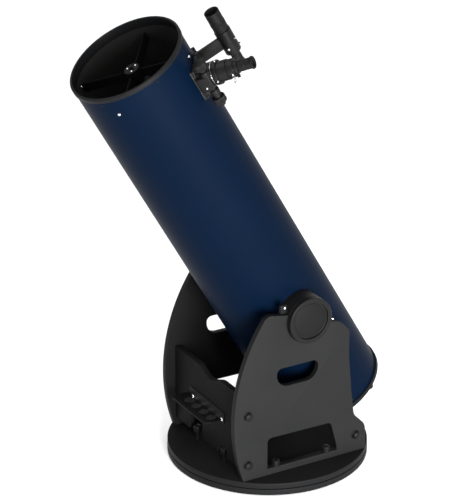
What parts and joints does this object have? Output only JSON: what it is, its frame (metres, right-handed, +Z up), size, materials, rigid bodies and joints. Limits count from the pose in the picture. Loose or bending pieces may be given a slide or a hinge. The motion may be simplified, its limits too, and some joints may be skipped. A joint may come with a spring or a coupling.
{
  "type": "dobsonian telescope",
  "caption": "Large reflecting telescope: a round tube with side focuser and finder, tilting in a rocker box of flat boards that turns on a round base.",
  "frame": {"origin": "on the floor under the centre of the round base", "axes": "+Z up; the tube tilts in the YZ plane and its mouth points to -Y and up; the altitude axis lies along X, with the focuser on the +X side"},
  "size_m": [0.64, 1.0243, 1.535],
  "materials": {
    "laminate": "satin",
    "rubber": "matte",
    "bearing_plastic": "satin",
    "bolt_steel": "satin",
    "black_plastic": "gloss",
    "black_steel": "satin",
    "bright_chrome": "polished",
    "tube_enamel": "satin",
    "ring_metal": "satin",
    "black_alloy": "satin",
    "mirror": "polished"
  },
  "bodies": {
    "ground": {"ground_board": "laminate", "foot_1": "rubber", "foot_2": "rubber", "foot_3": "rubber", "azimuth_bearing": "bearing_plastic", "azimuth_bolt": "bolt_steel"},
    "azimuth_nut": {"azimuth_knob": "black_plastic"},
    "rocker": {"azimuth_board": "laminate", "side_board_right": "laminate", "side_board_left": "laminate", "front_board": "laminate", "eyepiece_rack": "black_steel", "rack_screw_1": "bright_chrome", "rack_screw_2": "bright_chrome", "side_bolt_right_1": "black_plastic", "side_bolt_right_2": "black_plastic", "side_bolt_right_3": "black_plastic", "side_bolt_left_1": "black_plastic", "side_bolt_left_2": "black_plastic", "side_bolt_left_3": "black_plastic", "floor_bolt_right_1": "black_plastic", "floor_bolt_right_2": "black_plastic", "floor_bolt_left_1": "black_plastic", "floor_bolt_left_2": "black_plastic", "front_post_right": "black_plastic", "front_post_left": "black_plastic", "cradle_liner_right": "black_plastic", "cradle_liner_left": "black_plastic", "cradle_stop_right": "black_plastic", "cradle_stop_left": "black_plastic"},
    "tube": {"main_tube": "tube_enamel", "front_ring": "ring_metal", "rear_ring": "ring_metal", "mirror_cell": "black_alloy", "spider": "black_steel", "secondary_holder": "black_steel", "secondary_mirror": "mirror", "altitude_bearing_right": "black_plastic", "altitude_bearing_left": "black_plastic", "focuser_base": "black_alloy", "focuser_collar": "black_alloy", "finder_shoe": "black_alloy"},
    "mirror": {"primary_mirror": "mirror"},
    "altitude_hand_right": {"altitude_knob_right": "black_plastic"},
    "altitude_hand_left": {"altitude_knob_left": "black_plastic"},
    "collimator_1": {"collimation_knob_1": "black_plastic"},
    "collimator_2": {"collimation_knob_2": "black_plastic"},
    "collimator_3": {"collimation_knob_3": "black_plastic"},
    "drawtube": {"focuser_drawtube": "ring_metal", "eyepiece_holder": "black_alloy"},
    "holder_clamp": {"holder_screw": "bright_chrome"},
    "adapter": {"eyepiece_adapter": "black_alloy"},
    "adapter_clamp": {"eyepiece_screw": "black_alloy"},
    "ocular": {"eyepiece": "black_alloy", "eyecup": "rubber"},
    "focus_shaft": {"focus_knob": "black_alloy"},
    "fine_focus": {"fine_focus_knob": "bright_chrome"},
    "finder_mount": {"finder_bracket": "black_alloy"},
    "finder_lock": {"finder_lock_screw": "bright_chrome"},
    "finder_scope": {"finder_tube": "black_alloy"}
  },
  "joints": [
    {"name": "azimuth_turn", "type": "hinge", "parent": "ground", "child": "rocker", "pos_m": [0, 0, 0.0275], "axis": [0, 0, 1], "continuous": true},
    {"name": "azimuth_nut_turn", "type": "hinge", "parent": "ground", "child": "azimuth_nut", "pos_m": [0, 0, 0.054], "axis": [0, 0, 1], "range_deg": [-180, 180]},
    {"name": "altitude_tilt", "type": "hinge", "parent": "rocker", "child": "tube", "pos_m": [0, 0.006, 0.551], "axis": [1, 0, 0], "range_deg": [-30, 60]},
    {"name": "altitude_knob_right_turn", "type": "hinge", "parent": "tube", "child": "altitude_hand_right", "pos_m": [0.239, 0.006, 0.551], "axis": [1, 0, 0], "range_deg": [-180, 180]},
    {"name": "altitude_knob_left_turn", "type": "hinge", "parent": "tube", "child": "altitude_hand_left", "pos_m": [-0.239, 0.006, 0.551], "axis": [-1, 0, 0], "range_deg": [-180, 180]},
    {"name": "mirror_tilt", "type": "hinge", "parent": "tube", "child": "mirror", "pos_m": [0, 0.195, 0.22364], "axis": [1, 0, 0], "range_deg": [-0.8, 0.8]},
    {"name": "collimation_1_turn", "type": "hinge", "parent": "tube", "child": "collimator_1", "pos_m": [0.13943, 0.29372, 0.21366], "axis": [0, -0.5, 0.866], "range_deg": [-360, 360]},
    {"name": "collimation_2_turn", "type": "hinge", "parent": "tube", "child": "collimator_2", "pos_m": [-0.13943, 0.29372, 0.21366], "axis": [0, -0.5, 0.866], "range_deg": [-360, 360]},
    {"name": "collimation_3_turn", "type": "hinge", "parent": "tube", "child": "collimator_3", "pos_m": [0, 0.08457, 0.09291], "axis": [0, -0.5, 0.866], "range_deg": [-360, 360]},
    {"name": "focus_travel", "type": "slide", "parent": "tube", "child": "drawtube", "axis": [0.682, 0.6334, 0.3657], "range_m": [-0.02, 0.02]},
    {"name": "focus_turn", "type": "hinge", "parent": "tube", "child": "focus_shaft", "pos_m": [0.17581, -0.30761, 1.35836], "axis": [0, -0.5, 0.866], "range_deg": [-290, 290]},
    {"name": "fine_focus_turn", "type": "hinge", "parent": "focus_shaft", "child": "fine_focus", "pos_m": [0.17581, -0.26761, 1.28908], "axis": [0, -0.5, 0.866], "continuous": true},
    {"name": "adapter_slide", "type": "slide", "parent": "drawtube", "child": "adapter", "axis": [0.682, 0.6334, 0.3657], "range_m": [0, 0.015]},
    {"name": "eyepiece_slide", "type": "slide", "parent": "adapter", "child": "ocular", "axis": [0.682, 0.6334, 0.3657], "range_m": [0, 0.024]},
    {"name": "holder_clamp_turn", "type": "hinge", "parent": "drawtube", "child": "holder_clamp", "pos_m": [0.20808, -0.24243, 1.36985], "axis": [0.4798, -0.0101, -0.8773], "range_deg": [-180, 180]},
    {"name": "adapter_clamp_turn", "type": "hinge", "parent": "adapter", "child": "adapter_clamp", "pos_m": [0.21371, -0.23305, 1.38195], "axis": [0.4701, 0.0034, -0.8826], "range_deg": [-180, 180]},
    {"name": "finder_slide", "type": "slide", "parent": "tube", "child": "finder_mount", "axis": [0, -0.5, 0.866], "range_m": [0, 0.06]},
    {"name": "finder_lock_turn", "type": "hinge", "parent": "tube", "child": "finder_lock", "pos_m": [0.01037, -0.25934, 1.38161], "axis": [-0.9848, 0.1504, 0.0868], "range_deg": [-180, 180]},
    {"name": "finder_tilt", "type": "hinge", "parent": "finder_mount", "child": "finder_scope", "pos_m": [0.04949, -0.16993, 1.41706], "axis": [1, 0, 0], "range_deg": [-0.8, 0.8]}
  ],
  "couplings": [
    {"joint": "focus_turn", "follows": "focus_travel", "rad_per_m": 250}
  ]
}
